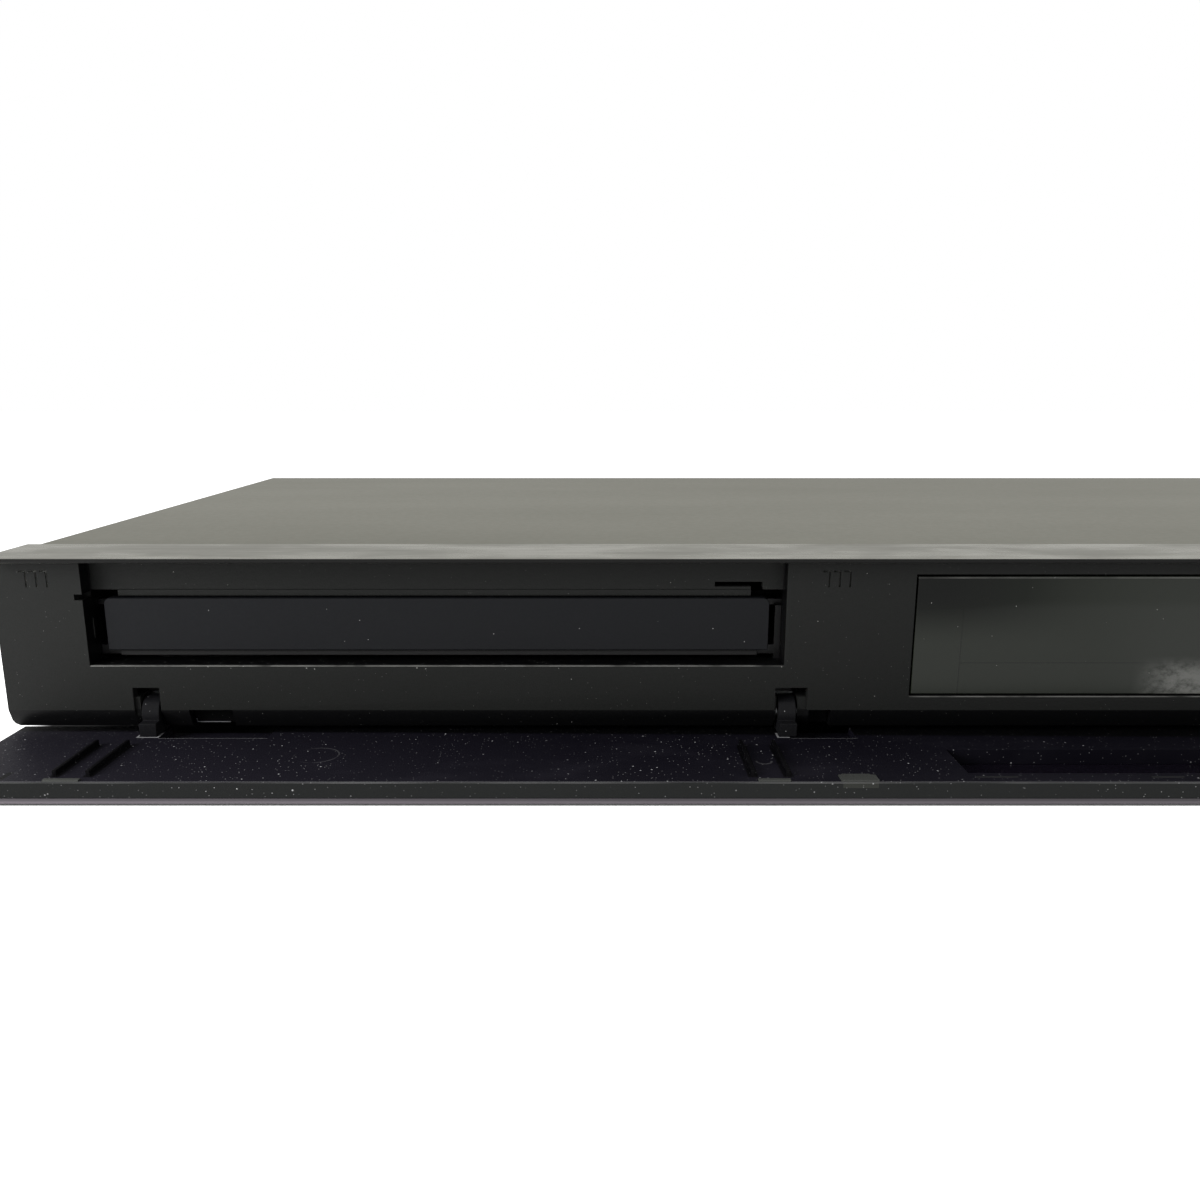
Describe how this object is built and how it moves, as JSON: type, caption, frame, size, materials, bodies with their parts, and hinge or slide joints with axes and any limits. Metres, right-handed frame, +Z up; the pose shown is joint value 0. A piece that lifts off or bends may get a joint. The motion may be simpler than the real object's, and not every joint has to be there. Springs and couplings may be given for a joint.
{
  "type": "blu-ray recorder",
  "caption": "Slim disc recorder with a full-width front flap folded down, a sliding disc tray, display window, drive mechanism, boards and rear sockets.",
  "frame": {"origin": "middle of the footprint with the front flap open, on the resting surface", "axes": "+X to the right seen from the front, +Y to the rear, +Z up"},
  "size_m": [0.43, 0.2228, 0.042],
  "materials": {
    "painted_steel": "satin dark warm grey paint",
    "zinc_steel": "zinc-coated sheet",
    "brushed_trim": "dark brushed anodised",
    "panel_plastic": "fine matte texture",
    "smoked_lens": "smoked gloss",
    "flap_plastic": "matte violet black",
    "flap_sheet": "smoked sheet",
    "steel_bright": "ground bright",
    "screw_steel": "black zinc",
    "foot_rubber": "matte",
    "black_plastic": "satin moulded",
    "door_plastic": "smooth matte",
    "circuit_board": "green solder mask",
    "display_glass": "dark glass",
    "motor_case": "drawn can",
    "aluminium_cast": "cast and machined",
    "traverse_steel": "pressed sheet",
    "terminal_plating": "nickel plate",
    "coil": "taped winding",
    "cable_skin": "vinyl"
  },
  "bodies": {
    "case": {"antenna_terminals": "terminal_plating", "board_screws": "screw_steel", "card_slot": "black_plastic", "case_screws": "screw_steel", "chassis_base": "zinc_steel", "clamp_bridge": "zinc_steel", "display_module": "display_glass", "display_window": "smoked_lens", "drive_belt": "foot_rubber", "drive_dampers": "foot_rubber", "drive_frame": "black_plastic", "drive_ribbon": "cable_skin", "drive_screws": "screw_steel", "fan_housing": "black_plastic", "flap_hinge_pins": "steel_bright", "front_board": "circuit_board", "front_feet": "foot_rubber", "front_panel": "panel_plastic", "front_ribbon": "cable_skin", "front_usb_socket": "zinc_steel", "hard_disk": "aluminium_cast", "hard_disk_bracket": "zinc_steel", "hard_disk_cable": "cable_skin", "hdmi_socket": "zinc_steel", "heat_sink": "aluminium_cast", "inner_leads": "cable_skin", "lan_socket": "zinc_steel", "loading_motor": "motor_case", "main_board": "circuit_board", "mains_inlet": "black_plastic", "power_board": "circuit_board", "rear_feet": "foot_rubber", "rear_panel": "zinc_steel", "rear_usb_socket": "zinc_steel", "top_cover": "painted_steel", "top_trim": "brushed_trim", "transformer": "coil", "tuner_module": "zinc_steel"},
    "flap": {"flap_frame": "flap_plastic", "flap_panel": "flap_sheet", "left_flap_arm": "flap_plastic", "middle_flap_arm": "flap_plastic", "right_flap_arm": "flap_plastic"},
    "tray": {"disc_tray": "black_plastic", "tray_door": "door_plastic"},
    "loading_wheel": {"loading_gear": "black_plastic"},
    "motor_wheel": {"motor_pulley": "black_plastic"},
    "traverse": {"traverse_chassis": "traverse_steel", "guide_rods": "steel_bright", "spindle_motor": "motor_case", "sled_motor": "motor_case"},
    "platter": {"turntable": "black_plastic"},
    "sled": {"pickup_sled": "black_plastic", "pickup_lens": "display_glass"},
    "sled_screw": {"lead_screw": "steel_bright"},
    "cam": {"cam_slider": "black_plastic"},
    "clamp": {"clamper": "black_plastic"},
    "rotor": {"fan_rotor": "black_plastic"},
    "power_cap": {"power_button": "panel_plastic"},
    "open_close_cap": {"open_close_button": "panel_plastic"}
  },
  "joints": [
    {"name": "flap_hinge", "type": "hinge", "parent": "case", "child": "flap", "pos_m": [0, -0.0793, 0.0085], "axis": [1, 0, 0], "range_deg": [-90, 0]},
    {"name": "tray_slide", "type": "slide", "parent": "case", "child": "tray", "axis": [0, -1, 0], "range_m": [0, 0.132]},
    {"name": "loading_gear_turn", "type": "hinge", "parent": "case", "child": "loading_wheel", "pos_m": [-0.18005, -0.0606, 0.019], "axis": [0, 0, 1], "range_deg": [0, 1082.4]},
    {"name": "motor_pulley_turn", "type": "hinge", "parent": "case", "child": "motor_wheel", "pos_m": [-0.15605, -0.0606, 0.019], "axis": [0, 0, 1], "range_deg": [0, 3704.7]},
    {"name": "traverse_lift", "type": "hinge", "parent": "case", "child": "traverse", "pos_m": [-0.12605, 0.0694, 0.0182], "axis": [1, 0, 0], "range_deg": [0, 2.9]},
    {"name": "cam_slide", "type": "slide", "parent": "case", "child": "cam", "axis": [1, 0, 0], "range_m": [0, 0.0142]},
    {"name": "turntable_spin", "type": "hinge", "parent": "traverse", "child": "platter", "pos_m": [-0.12605, -0.0096, 0.028], "axis": [0, 0, 1], "continuous": true},
    {"name": "clamper_spin", "type": "hinge", "parent": "case", "child": "clamp", "pos_m": [-0.12605, -0.0096, 0.035], "axis": [0, 0, 1], "continuous": true},
    {"name": "sled_slide", "type": "slide", "parent": "traverse", "child": "sled", "axis": [0, 1, 0], "range_m": [0, 0.037]},
    {"name": "lead_screw_turn", "type": "hinge", "parent": "traverse", "child": "sled_screw", "pos_m": [-0.09505, 0.0017, 0.018], "axis": [0, 1, 0], "range_deg": [0, 4442]},
    {"name": "fan_spin", "type": "hinge", "parent": "case", "child": "rotor", "pos_m": [0.078, 0.0974, 0.023], "axis": [0, 1, 0], "continuous": true},
    {"name": "power_button_press", "type": "slide", "parent": "case", "child": "power_cap", "axis": [0, 1, 0], "range_m": [0, 0.0005], "stiffness_N_per_m": 400, "springref_m": -0.0005},
    {"name": "open_close_button_press", "type": "slide", "parent": "case", "child": "open_close_cap", "axis": [0, 1, 0], "range_m": [0, 0.0005], "stiffness_N_per_m": 400, "springref_m": -0.0005}
  ],
  "couplings": [
    {"joint": "loading_gear_turn", "follows": "tray_slide", "rad_per_m": 142.86},
    {"joint": "motor_pulley_turn", "follows": "tray_slide", "rad_per_m": 489.18},
    {"joint": "cam_slide", "follows": "traverse_lift", "m_per_rad": 0.2766},
    {"joint": "clamper_spin", "follows": "turntable_spin", "ratio": 1},
    {"joint": "lead_screw_turn", "follows": "sled_slide", "rad_per_m": 2094.4}
  ]
}
